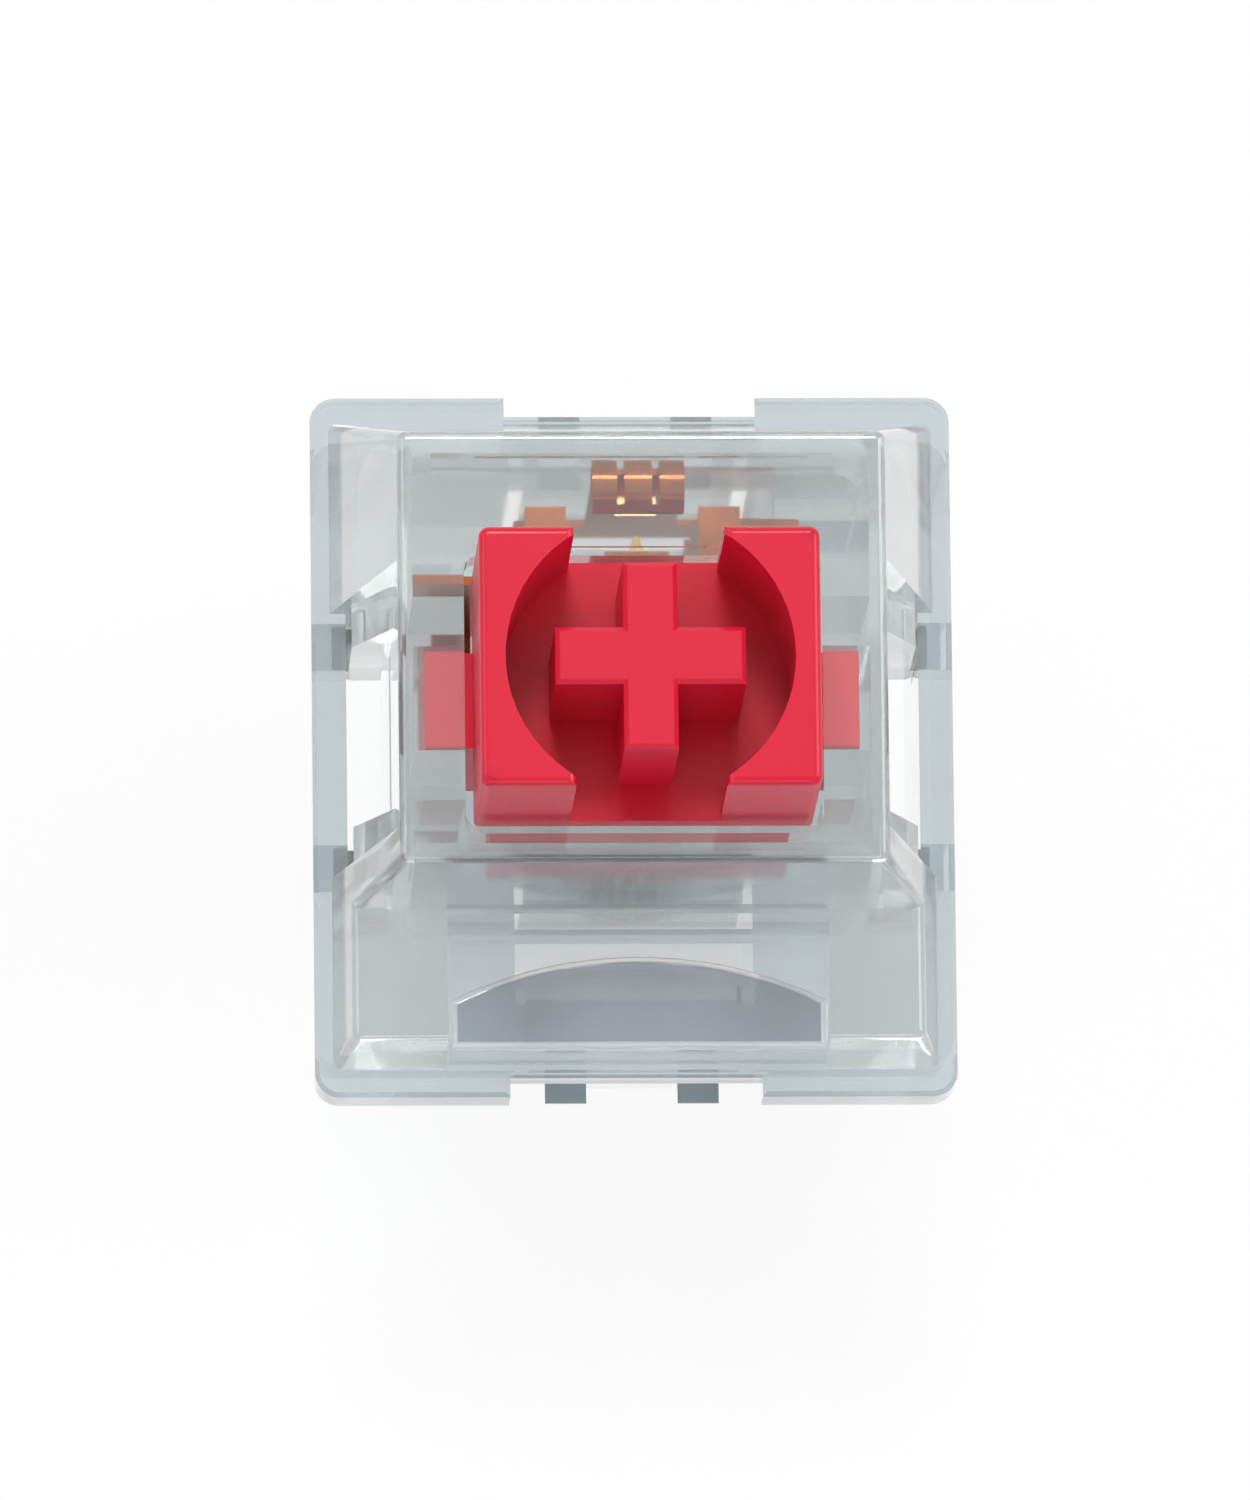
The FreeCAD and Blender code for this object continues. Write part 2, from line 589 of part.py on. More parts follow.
def make_upper_housing():
    body = new_body("upper_housing")
    rim = cap_foot()
    under = s.cap_level - s.cap_thick
    add_cap(body, rim)
    half = s.well_wide / 2
    slope = (s.cap_base_north - s.cap_top_north) / (s.cap_level - rim)
    inner_high = s.cap_top_north + slope * s.cap_thick - s.cap_wall
    room = [(-s.well_south, rim - s.running), (s.cap_base_north - s.cap_wall, rim - s.running),
            (s.cap_base_north - s.cap_wall, rim), (inner_high, under), (s.cap_wall - s.cap_top_south, under),
            (-s.well_south, rim)]
    pocket(body, "chamber", "YZ", -half, half * 2, [room], up=True)
    mouth = rectangle(-s.mouth_wide / 2, s.mouth_wide / 2, -s.mouth_deep / 2, s.mouth_deep / 2)
    cut = pocket(body, "mouth", "XY", s.cap_level, s.cap_thick, [mouth])
    across, along = s.mouth_wide.value / 2 + 0.01, s.mouth_deep.value / 2 + 0.01
    corners = edges_where(cut, lambda e: upright(e) and inside(
        e, x=(-across, across), y=(-along, along), z=(under.value, s.cap_level.value)))
    dress(body, "mouth_rounds", "Fillet", cut, corners, s.mouth_round)
    add_side_recesses(body)
    add_rail_guides(body)
    opening = rectangle(-s.guide_wide / 2 - s.running, s.guide_wide / 2 + s.running,
                        -s.flange_deep / 2, -s.cap_base_south)
    pocket(body, "guide_opening", "XY", s.shelf_level, s.shelf_level - rim, [opening])
    name = rectangle(-s.name_wide / 2, s.name_wide / 2,
                     s.cap_top_north - s.name_deep - s.cap_wall, s.cap_top_north - s.cap_wall)
    pocket(body, "top_recess", "XY", s.cap_level, s.name_sunk, [name])
    return body


def cap_foot():
    """Height of the upper housing's lower face, just clear of the flange's top."""
    return s.board_gap + s.flange_tall + s.seat_gap


def add_cap(body, rim):
    """The tall part and the low shelf round the light guide, with every side cut to its slope."""
    w, top, shelf = s.cap_base_wide / 2, s.cap_level, s.shelf_level
    block = rectangle(-w, w, -s.cap_base_south, s.cap_base_north)
    pad(body, "cap", "XY", rim, top - rim, [block])
    low = rectangle(-w, w, -s.shelf_south, -s.cap_base_south)
    pad(body, "shelf", "XY", rim, shelf - rim, [low])
    over, spare = top + s.running, s.running
    side = [(w, rim), (w + spare, rim), (w + spare, over), (s.cap_top_wide / 2, over),
            (s.cap_top_wide / 2, top)]
    pocket(body, "cap_sides", "XZ", s.shelf_south, s.shelf_south + s.cap_base_north, both_sides(side))
    lean = (s.cap_base_south - s.cap_top_south) / (top - rim) * (shelf - rim)
    south, north, foot = -s.cap_base_south, s.cap_base_north, -s.shelf_south
    front = [(south - spare, shelf), (south + lean, shelf), (-s.cap_top_south, top),
             (-s.cap_top_south, over), (south - spare, over)]
    back = [(north, rim), (north + spare, rim), (north + spare, over), (s.cap_top_north, over),
            (s.cap_top_north, top)]
    lip = [(foot - spare, rim), (foot, rim), (foot + s.shelf_lean, shelf),
           (foot + s.shelf_lean, shelf + spare), (foot - spare, shelf + spare)]
    cut = pocket(body, "cap_ends", "YZ", -w, w * 2, [front, back, lip], up=True)
    edges = edges_where(cut, lambda e: upright(e) or level_at(e, top.value) or (
        level_at(e, shelf.value) and e.CenterOfMass.y < south.value))
    dress(body, "cap_rounds", "Fillet", cut, edges, s.cap_edge)


def add_side_recesses(body):
    """Cuts both latch sides back to an upright wall and hangs two hooked legs on each."""
    rim = cap_foot()
    recess = rectangle(s.side_face, s.flange_wide / 2, -s.latch_half, s.latch_half)
    pocket(body, "side_recesses", "XY", s.cap_level, s.cap_level - rim, both_sides(recess))
    buried = s.side_face - s.rib_thick / 2
    hook = s.catch_level - s.running
    leg = [(buried, rim), (s.leg_near, rim), (s.leg_near, s.leg_end), (s.leg_far - s.running, s.leg_end),
           (s.leg_hook, hook - s.slot_gap), (s.leg_far, hook), (s.leg_far, rim + s.lip_tall),
           (buried, s.leg_shoulder)]
    inner = s.latch_half - s.leg_wide
    for name, low in (("north", -s.latch_half), ("south", inner)):
        pad(body, f"latch_legs_{name}", "XZ", low, s.leg_wide, both_sides(leg))


def add_rail_guides(body):
    """Ribs on both sides of each stem rail."""
    rim = cap_foot()
    under = s.cap_level - s.cap_thick
    near = s.rail_half + s.running * 2
    ribs = []
    for low, high in ((near, near + s.guide_rib), (-near - s.guide_rib, -near)):
        ribs += both_sides(rectangle(s.mouth_wide / 2, s.well_wide / 2 + s.running, low, high))
    pad(body, "rail_guides", "XY", rim, under - rim + s.running, ribs)


# Light guide: a clear block with a lens face towards the middle and a peg down to the lamp

def make_light_guide():
    body = new_body("light_guide")
    half = s.guide_wide / 2
    foot = s.guide_seat + s.seat_gap
    block = [(-half, -s.guide_south), (half, -s.guide_south), (half, -s.guide_side),
             (-half, -s.guide_side)]
    lens = pad(body, "block", "XY", foot, s.guide_tall, [block], arcs={2: s.guide_lens})
    top = edges_where(lens, lambda e: level_at(e, (foot + s.guide_tall).value))
    dress(body, "block_edge", "Fillet", lens, top, s.guide_edge)
    peg_half = s.lamp_wide / 2 - s.running * 4
    peg_south = s.running - s.lamp_south
    peg = rectangle(-peg_half, peg_half, peg_south, peg_south + s.peg_thick)
    peg_pad = pad(body, "peg", "XY", foot, s.guide_peg, [peg], up=False)
    rims = edges_where(peg_pad, lambda e: level_at(e, (foot - s.guide_peg).value))
    dress(body, "peg_edge", "Fillet", peg_pad, rims, s.guide_edge)
    return body


# Stem: dust wall, round socket with the keycap cross, slider with rails, ramp legs and pole

def make_stem():
    body = new_body("stem")
    top = s.cap_level + s.stem_rise
    under = s.cap_level - s.cap_thick
    floor = top - s.socket_deep
    shoulder = under - s.running * 2
    box = rectangle(-s.box_wide / 2, s.box_wide / 2, -s.box_deep / 2, s.box_deep / 2)
    wall = pad(body, "dust_wall", "XY", shoulder, top - shoulder, [box])
    dress(body, "wall_rounds", "Fillet", wall, edges_where(wall, upright), s.box_round)
    round_pocket(body, "socket", s.socket_radius, top, s.socket_deep)
    far = s.box_deep / 2 + s.running
    gap = rectangle(-s.socket_gap / 2, s.socket_gap / 2, -far, far)
    pocket(body, "wall_gaps", "XY", top, s.socket_deep, [gap])
    a, b, c = s.cross_long / 2, s.cross_thin / 2, s.cross_thick / 2
    cross = [(-b, -a), (b, -a), (b, -c), (a, -c), (a, c), (b, c), (b, a), (-b, a), (-b, c), (-a, c),
             (-a, -c), (-b, -c)]
    crossed = pad(body, "cross", "XY", floor, s.socket_deep, [cross])
    reach = s.cross_long.value / 2 + 0.01
    crown = edges_where(crossed, lambda e: level_at(e, top.value) and inside(
        e, x=(-reach, reach), y=(-reach, reach)))
    edged = dress(body, "cross_edge", "Chamfer", crossed, crown, s.cross_edge)
    near = s.box_deep.value / 2 - s.box_round.value
    far = s.box_wide.value / 2 - s.box_round.value
    rim = edges_where(edged, lambda e: level_at(e, top.value) and (
        abs(e.CenterOfMass.x) > far or abs(e.CenterOfMass.y) > near))
    dress(body, "wall_edge", "Fillet", edged, rim, s.wall_edge)
    w, d, r, h = s.body_wide / 2, s.body_deep / 2, s.rail_reach, s.rail_half
    slider = [(-w, -d), (w, -d), (w, -h), (r, -h), (r, h), (w, h), (w, d), (-w, d), (-w, h), (-r, h),
              (-r, -h), (-w, -h)]
    pad(body, "slider", "XY", shoulder, shoulder - s.skirt_level, [slider], up=False)
    round_pocket(body, "spring_chamber", s.spring_room, s.skirt_level, s.spring_top - s.skirt_level, up=True)
    p, e, tip = s.pole_radius, s.pole_edge, pole_tip()
    pole = [(ZERO, tip), (p - e, tip), (p, tip + e), (p, s.spring_top + s.running),
            (ZERO, s.spring_top + s.running)]
    turned(body, "pole", "Revolution", pole)
    inner = s.body_deep / 2 - s.running
    lead = s.ramp_low - s.ramp_high
    ramp = [(inner, s.skirt_level), (s.ramp_low - lead, s.skirt_level), (s.ramp_low, s.ramp_foot),
            (s.ramp_high, shoulder), (inner, shoulder)]
    for name, low in (("east", s.ramp_near), ("west", -s.ramp_far)):
        pad(body, f"ramp_leg_{name}", "YZ", low, s.ramp_far - s.ramp_near, [ramp])
    return body


# Contacts

def make_fixed_contact():
    """The plate nearer the stem: a wing, a bridge and a tongue, with its foot and pin bent off below."""
    body = new_body("fixed_contact")
    foot = s.floor_tall + s.slot_gap
    east = s.tongue_wide / 2
    neck = s.wing_level - 2 * s.sheet
    bridge = foot + (s.wing_level - foot) * s.bridge_share
    plate = [(-s.fixed_west, foot), (east + s.sheet, foot), (east + s.sheet, bridge), (east, neck),
             (east, s.tongue_level), (-east, s.tongue_level), (-east, neck), (-east - s.sheet * 2, bridge),
             (s.wing_wide - s.fixed_west, bridge), (s.wing_wide - s.fixed_west, s.wing_level),
             (-s.fixed_west, s.wing_level)]
    pad(body, "plate", "XZ", -s.fixed_north - s.sheet, s.sheet, [plate])
    window_low, window_high = foot + 3 * s.sheet, bridge - 3 * s.sheet
    window = rectangle(s.window_side - s.fixed_west, -east, window_low, window_high)
    pocket(body, "window", "XZ", -s.fixed_north, s.sheet, [window])
    add_bent_pin(body, foot)
    return body


def add_bent_pin(body, foot):
    """The foot that runs towards the stem and the pin that turns down from it through the floor."""
    y = s.fixed_pin_north
    t = s.sheet / 2
    side = [(y - t, -s.post_long), (y + t, -s.post_long), (y + t, foot), (s.fixed_north + s.sheet, foot),
            (s.fixed_north + s.sheet, foot + s.sheet), (y - t, foot + s.sheet)]
    x = -s.fixed_pin_west - s.pin_wide / 2
    bent = pad(body, "pin", "YZ", x, s.pin_wide, [side])
    taper_pin(body, bent, s.fixed_pin_west * -1, y)


def taper_pin(body, feature, x, y):
    """Narrows a pin's tip from both sides."""
    w, n = s.pin_wide / 2 + s.running, s.pin_tip / 2
    low = -s.post_long - s.running
    cuts = [[(x - w, low), (x - n, low), (x - w, s.pin_taper - s.post_long)],
            [(x + n, low), (x + w, low), (x + w, s.pin_taper - s.post_long)]]
    pocket(body, "pin_taper", "XZ", -y - s.sheet, s.sheet * 2, cuts, up=True)


def make_leaf_terminal():
    """The plate on the outer wall that carries the leaf, with its pin straight below."""
    body = new_body("leaf_terminal")
    foot = s.floor_tall + s.slot_gap
    x, w = s.leaf_pin_east, s.pin_wide / 2
    top = s.leaf_root - s.arm_gap
    left = x - s.terminal_side
    plate = [(left, foot), (x - w, foot), (x - w, -s.post_long), (x + w, -s.post_long), (x + w, foot),
             (s.leaf_east, foot), (s.leaf_east, top), (left, top)]
    pad(body, "plate", "XZ", -s.leaf_pin_north - s.sheet / 2, s.sheet, [plate])
    taper_pin(body, None, x, s.leaf_pin_north)
    return body


def make_contact_leaf():
    """The thin leaf: its root over the terminal, two arms that reach the ramps, and a rolled tongue."""
    body = new_body("contact_leaf")
    y = s.leaf_pin_north
    t = s.leaf_sheet
    mid = s.tongue_wide / 2 + s.leaf_margin
    low, band = s.leaf_root + s.leaf_low, s.leaf_root + s.leaf_band
    root = s.leaf_pin_east - s.leaf_side
    near, far = s.ramp_near, s.ramp_far
    post = s.arm_level
    blade = [(root, s.leaf_root), (s.leaf_east, s.leaf_root), (s.leaf_east, band), (far, band + t),
             (far, post), (near, post), (near, band), (mid, band), (mid, s.leaf_top), (-mid, s.leaf_top),
             (-mid, band), (-near, band), (-near, post), (-far, post), (-far, band),
             (-s.leaf_west - t, band - t), (-s.leaf_west - t, low + t), (-s.leaf_west, low), (root, low)]
    pad(body, "blade", "XZ", -y - t / 2, t, [blade])
    tip = arm_tip()
    arm = [(tip, post - t), (y + t / 2, post - t), (y + t / 2, post), (tip, post)]
    for name, x in (("east", near), ("west", -far)):
        pad(body, f"arm_{name}", "YZ", x, far - near, [arm])
    back = y + t / 2 + s.lean_back
    over = s.leaf_top + s.lean_tall
    lean = [(y - t / 2, s.leaf_top), (y + t / 2, s.leaf_top), (back, over), (back - t, over)]
    pad(body, "lean", "YZ", -mid, mid * 2, [lean])
    add_roll(body, mid, back, over)
    slits = both_sides(rectangle(s.finger_near, s.finger_far, back - 2 * s.roll_radius + t, back + t))
    pocket(body, "finger_slits", "XY", over + s.roll_radius + t, s.roll_radius + 2 * t, slits)
    return body


def arm_tip():
    """Where an arm ends, just clear of the ramp's face at rest."""
    return s.ramp_low + s.arm_gap


def add_roll(body, mid, back, z):
    """Rolls the tongue's top over towards the stem, as half a turn of sheet."""
    r, t = s.roll_radius, s.leaf_sheet
    hoop = [(back - t, z), (back, z), (back - 2 * r, z), (back - 2 * r + t, z)]
    sketch = new_sketch(body, "roll_sketch", "YZ", -mid)
    outline_hoop(sketch, hoop, r, r - t)
    feature = body.newObject("PartDesign::Pad", "roll")
    feature.Profile = sketch
    bind(feature, "Length", mid * 2)
    doc.recompute()


def outline_hoop(sketch, points, outer, inner):
    """Half a ring: across one foot, round the outside, across the other foot and back round the inside."""
    (a, z), (b, _), (c, _), (d, _) = points
    spots = [V(p.value, z.value, 0) for p in (a, b, c, d)]
    sketch.addGeometry(Part.LineSegment(spots[0], spots[1]))
    sketch.addGeometry(arc_between((b.value, z.value), (c.value, z.value), outer.value))
    sketch.addGeometry(Part.LineSegment(spots[2], spots[3]))
    sketch.addGeometry(arc_between((a.value, z.value), (d.value, z.value), inner.value))
    for first, second in (((0, 2), (1, 1)), ((1, 2), (2, 1)), ((2, 2), (3, 2)), ((3, 1), (0, 1))):
        sketch.addConstraint(Sketcher.Constraint("Coincident", *first, *second))
    for vertex, x in (((0, 1), a), ((0, 2), b), ((2, 1), c), ((2, 2), d)):
        hold(sketch, "DistanceX", vertex, x)
        hold(sketch, "DistanceY", vertex, z)
    for edge in (1, 3):
        hold(sketch, "DistanceY", (edge, 3), z)


def make_cross_point(label, face, towards, along_x):
    """A roof-shaped point of contact metal on a contact's face, standing off towards the other one."""
    body = new_body(label)
    w = s.point_wide / 2
    tip = face + s.point_tall * towards
    long = s.point_long / 2
    if along_x:
        roof = [(face, s.point_level - w), (tip, s.point_level - w / 4), (tip, s.point_level + w / 4),
                (face, s.point_level + w)]
        roof = roof if towards > 0 else roof[::-1]
        pad(body, "roof", "YZ", -long, s.point_long, [roof])
    else:
        roof = [(-w, face), (w, face), (w / 4, tip), (-w / 4, tip)]
        roof = roof if towards > 0 else roof[::-1]
        pad(body, "roof", "XY", s.point_level - long, s.point_long, [roof])
    return body


# Return spring: one wire wound with a closed turn at each end

def coil_point(turn, low, high):
    """The wire's centre after so many turns: closed up for one turn at each end and open between."""
    radius, turns, closed = s.coil_radius.value, s.coil_turns.value, s.wire.value * s.coil_closed.value
    rise = (high - low - 2 * closed) / (turns - 2)
    if turn < 1:
        z = low + closed * turn
    elif turn < turns - 1:
        z = low + closed + rise * (turn - 1)
    else:
        z = high - closed * (turns - turn)
    angle = 2 * math.pi * turn
    return V(radius * math.cos(angle), radius * math.sin(angle), z)


def wire_section(start, heading):
    """A six-sided section across the wire, with the area of the round wire."""
    sides = 6
    step = 2 * math.pi / sides
    radius = s.wire.value / 2 * math.sqrt(step / math.sin(step))
    up = V(0, 0, 1)
    up = (up - heading * up.dot(heading)).normalize()
    out = heading.cross(up)
    corners = []
    for k in range(sides):
        angle = (k + 0.5) * step
        corners.append(start + up * radius * math.cos(angle) + out * radius * math.sin(angle))
    return Part.makePolygon(corners + corners[:1])


def make_return_spring():
    """The spring as a wire swept along quarter-turn arcs."""
    wire, gap, quarters = s.wire.value, s.coil_gap.value, 4
    low = s.floor_tall.value + wire / 2 + gap
    high = s.spring_top.value - wire / 2 - gap
    arcs = []
    for i in range(int(s.coil_turns.value * quarters)):
        ends = [coil_point((i + part) / quarters, low, high) for part in (0, 0.5, 1)]
        arcs.append(Part.Arc(*ends).toShape())
    path = Part.Wire(arcs)
    first = arcs[0]
    section = wire_section(first.valueAt(first.FirstParameter), first.tangentAt(first.FirstParameter))
    spring = doc.addObject("Part::Feature", "return_spring")
    spring.Label = "return_spring"
    spring.Shape = path.makePipeShell([section], True, True)
    expected = math.pi * (wire / 2) ** 2 * path.Length
    if abs(spring.Shape.Volume / expected - 1) > 0.03:
        raise ValueError(f"spring volume {spring.Shape.Volume:.3f}, wire gives {expected:.3f}")
    return spring


def write(parts):
    """Checks every object of the document and writes one STEP file for each piece."""
    doc.recompute()
    for obj in doc.Objects:
        if "Invalid" in obj.State or "Error" in obj.State:
            raise ValueError(f"{obj.Name} failed: {obj.State}")
    os.makedirs("parts", exist_ok=True)
    for piece in parts:
        shape = piece.Shape
        if shape.isNull() or not shape.isValid() or not shape.Solids:
            raise ValueError(f"{piece.Label} has no valid solid")
        shape.exportStep(f"parts/{piece.Label}.step")
        box = shape.BoundBox
        print(f"{piece.Label}: {len(shape.Solids)} solid, {shape.Volume:.3f} mm3, "
              f"X {box.XMin:.2f} {box.XMax:.2f}, Y {box.YMin:.2f} {box.YMax:.2f}, "
              f"Z {box.ZMin:.2f} {box.ZMax:.2f}")


write([
    make_lower_housing(),
    make_upper_housing(),
    make_light_guide(),
    make_stem(),
    make_return_spring(),
    make_fixed_contact(),
    make_leaf_terminal(),
    make_contact_leaf(),
    make_cross_point("fixed_contact_point", s.fixed_north + s.sheet, 1, along_x=False),
    make_cross_point("leaf_contact_point", s.leaf_pin_north - s.leaf_sheet / 2, -1, along_x=True),
])
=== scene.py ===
"""The looks of a keyboard switch in a clear housing, in metres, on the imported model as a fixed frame."""
import math

import bmesh
import bpy
from mathutils import Matrix, Vector


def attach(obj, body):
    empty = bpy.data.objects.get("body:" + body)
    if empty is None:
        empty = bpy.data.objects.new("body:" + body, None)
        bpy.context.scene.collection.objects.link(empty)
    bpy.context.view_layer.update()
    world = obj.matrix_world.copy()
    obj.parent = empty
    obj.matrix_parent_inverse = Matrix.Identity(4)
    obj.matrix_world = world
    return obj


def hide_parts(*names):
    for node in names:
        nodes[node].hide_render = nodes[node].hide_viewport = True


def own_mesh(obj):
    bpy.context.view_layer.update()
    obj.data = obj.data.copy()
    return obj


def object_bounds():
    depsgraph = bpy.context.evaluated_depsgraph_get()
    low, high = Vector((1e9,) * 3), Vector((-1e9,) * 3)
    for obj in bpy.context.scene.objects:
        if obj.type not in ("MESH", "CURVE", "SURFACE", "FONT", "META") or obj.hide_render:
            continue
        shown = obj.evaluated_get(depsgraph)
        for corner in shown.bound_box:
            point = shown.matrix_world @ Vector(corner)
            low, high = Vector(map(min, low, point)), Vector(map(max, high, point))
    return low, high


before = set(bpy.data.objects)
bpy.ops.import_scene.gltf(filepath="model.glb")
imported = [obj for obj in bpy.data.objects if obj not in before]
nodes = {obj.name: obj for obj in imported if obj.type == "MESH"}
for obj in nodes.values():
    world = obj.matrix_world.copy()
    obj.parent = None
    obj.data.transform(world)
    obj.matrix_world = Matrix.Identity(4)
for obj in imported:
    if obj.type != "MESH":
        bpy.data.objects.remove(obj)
cad_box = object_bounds()

MM = 0.001

# Photograph: a long lens above the switch, a little towards its light side, turned in the frame
IMAGE_WIDE, IMAGE_TALL = 1250, 1500
SENSOR = 36.0
VIEW_AZIMUTH = math.radians(-11.38)
VIEW_ELEVATION = math.radians(77.54)
VIEW_ROLL = math.radians(11.01)
VIEW_DISTANCE = 533.9 * MM
PIXELS_PER_MM = 46.09
AIM = Vector((0, 0, 9.0 * MM))
AIM_PIXEL = (638.8, 716.3)
CLIP_NEAR, CLIP_FAR = 0.01, 10.0

# Noise: scales in grains per metre, and the middle of its 0 to 1 range, which it mostly fills
CLEAR_GRAIN = 900.0
CLEAR_WAVES = 260.0
RED_GRAIN = 350.0
METAL_GRAIN = 700.0
METAL_MARKS = 4000.0
NOISE_LOW, NOISE_HIGH = 0.3, 0.7

# Bumps: strength, and distance in metres
WAVES_BUMP = (0.12, 0.04 * MM)
MARKS_BUMP = (0.2, 0.004 * MM)

# Clear plastic: a low index, so that thin walls bend little light, under a coat as glossy as plastic
CLEAR_IOR = 1.22
COAT_IOR = 1.5
COAT_ROUGHNESS = 0.05

# Red plastic: how it mirrors, and how far each colour scatters in it
RED_IOR = 1.48
RED_MIRROR = 0.36
SCATTER_SHARE = 0.15
SCATTER_DEPTH = 0.4 * MM
SCATTER_COLOURS = (1.0, 0.12, 0.12)

# Light guide: its flat top, and the depths below it at which the frosting starts and is full; the thin
# clear rim left just below the top is a painted highlight along the guide's top edge
GUIDE_TOP = 7.52 * MM
FROSTING_AND_HIGHLIGHT_START = 0.008 * MM
FROSTING_AND_HIGHLIGHT_FULL = 0.001 * MM

# Return spring: the coil of the CAD one, whose end turns rise by COIL_CLOSED wires
WIRE = 0.28 * MM
COIL_RADIUS = 2.08 * MM
COIL_TURNS = 9
COIL_CLOSED = 1.04
COIL_GAP = 0.01 * MM
COIL_STEPS = 48
WIRE_SIDES = 14
SPRING_LOW = 1.2 * MM
SPRING_HIGH = 9.4 * MM

# Studio: the world's strength where it is seen and where it only lights, and the floor
WORLD_SEEN = 1.0
WORLD_LIGHT = 0.5
FLOOR_HALF = 0.6
FLOOR_SHADE = 0.9
FLOOR_GLOW = 0.85

# Lamps: name, place and size in metres, power in watts
LAMPS = (
    ("lamp_left", (-0.28, 0.06, 0.22), (0.16, 0.2), 0.18),
    ("lamp_right", (0.28, 0.06, 0.24), (0.16, 0.2), 0.42),
    ("lamp_top", (-0.02, 0.2, 0.36), (0.1, 0.08), 0.62),
    ("lamp_front", (-0.05, -0.3, 0.2), (0.2, 0.1), 0.16),
)


# Node helpers

def new_material(name):
    """An empty node material and its output node."""
    material = bpy.data.materials.new(name)
    material.use_nodes = True
    tree = material.node_tree
    tree.nodes.clear()
    return material, tree, tree.nodes.new("ShaderNodeOutputMaterial")


def add(tree, kind, **inputs):
    """A node with its inputs set by name, underscores standing for spaces."""
    node = tree.nodes.new(kind)
    for key, value in inputs.items():
        node.inputs[key.replace("_", " ")].default_value = value
    return node


def own_place(tree):
    """The place on the object, in its own coordinates."""
    return tree.nodes.new("ShaderNodeTexCoord").outputs["Object"]


def noise(tree, scale, detail=3.0, roughness=0.55, stretch=None):
    """Noise over the object's own coordinates, drawn out by a stretch."""
    place = own_place(tree)
    if stretch:
        mapping = add(tree, "ShaderNodeMapping", Scale=stretch)
        tree.links.new(place, mapping.inputs["Vector"])
        place = mapping.outputs["Vector"]
    grain = add(tree, "ShaderNodeTexNoise", Scale=scale, Detail=detail, Roughness=roughness)
    tree.links.new(place, grain.inputs["Vector"])
    return grain.outputs["Fac"]


def remap(tree, source, start, end, low, high):
    """Maps an output's range from start to end onto the one from low to high."""
    ramp = add(tree, "ShaderNodeMapRange", From_Min=start, From_Max=end, To_Min=low, To_Max=high)
    tree.links.new(source, ramp.inputs["Value"])
    return ramp.outputs["Result"]


def vary_roughness(tree, body, source, roughness, least, most):
    """Lets noise vary a surface's roughness between two multiples of it."""
    rough = remap(tree, source, NOISE_LOW, NOISE_HIGH, roughness * least, roughness * most)
    tree.links.new(rough, body.inputs["Roughness"])


def bump_surface(tree, body, height, strength, distance):
    """Bumps a surface by a height output."""
    bump = add(tree, "ShaderNodeBump", Strength=strength, Distance=distance)
    tree.links.new(height, bump.inputs["Height"])
    tree.links.new(bump.outputs["Normal"], body.inputs["Normal"])


def mix_colours(tree, share, first, second):
    """A colour between two, by an output that gives the second one's share."""
    mix = tree.nodes.new("ShaderNodeMix")
    mix.data_type = "RGBA"
    mix.inputs["A"].default_value = (*first, 1)
    mix.inputs["B"].default_value = (*second, 1)
    tree.links.new(share, mix.inputs["Factor"])
    return mix.outputs["Result"]


def mix_shaders(tree, share, first, second):
    """A shader between two, by an output that gives the second one's share."""
    mix = tree.nodes.new("ShaderNodeMixShader")
    tree.links.new(share, mix.inputs["Fac"])
    tree.links.new(first, mix.inputs[1])
    tree.links.new(second, mix.inputs[2])
    return mix.outputs["Shader"]


# Materials

def clear_plastic(name, colour, roughness, shade, clarity):
    """Clear or milky moulded plastic that lets light through to what it covers."""
    material, tree, output = new_material(name)
    body = add(tree, "ShaderNodeBsdfPrincipled", Base_Color=(*colour, 1), Transmission_Weight=clarity,
               IOR=CLEAR_IOR, Coat_Weight=1.0, Coat_Roughness=COAT_ROUGHNESS, Coat_IOR=COAT_IOR)
    vary_roughness(tree, body, noise(tree, CLEAR_GRAIN), roughness, 0.7, 1.3)
    bump_surface(tree, body, noise(tree, CLEAR_WAVES, detail=1.0), *WAVES_BUMP)
    through = add(tree, "ShaderNodeBsdfTransparent", Color=(*shade, 1))
    shadow = tree.nodes.new("ShaderNodeLightPath").outputs["Is Shadow Ray"]
    surface = mix_shaders(tree, shadow, body.outputs["BSDF"], through.outputs["BSDF"])
    tree.links.new(surface, output.inputs["Surface"])
    return material


def frost_top_and_paint_rim_highlight(material, level, colour, clarity):
    """Frosts a clear plastic on the flat face that lies at a level above the board, and leaves a thin
    clear rim just below it, which is a painted highlight along the top edge.
    """
    tree = material.node_tree
    body = next(node for node in tree.nodes if node.type == "BSDF_PRINCIPLED")
    clear_and_rim_highlight_colour = body.inputs["Base Color"].default_value[:3]
    clear_and_rim_highlight_share = body.inputs["Transmission Weight"].default_value
    split = tree.nodes.new("ShaderNodeSeparateXYZ")
    tree.links.new(own_place(tree), split.inputs["Vector"])
    # 1 on the frosted top, 0 on the clear rim just below it, which is a painted highlight
    frosted_top_vs_painted_rim = remap(tree, split.outputs["Z"], level - FROSTING_AND_HIGHLIGHT_START, level - FROSTING_AND_HIGHLIGHT_FULL, 0.0, 1.0)
    mixed = mix_colours(tree, frosted_top_vs_painted_rim, clear_and_rim_highlight_colour, colour)
    tree.links.new(mixed, body.inputs["Base Color"])
    share = remap(tree, frosted_top_vs_painted_rim, 0.0, 1.0, clear_and_rim_highlight_share, clarity)
    tree.links.new(share, body.inputs["Transmission Weight"])


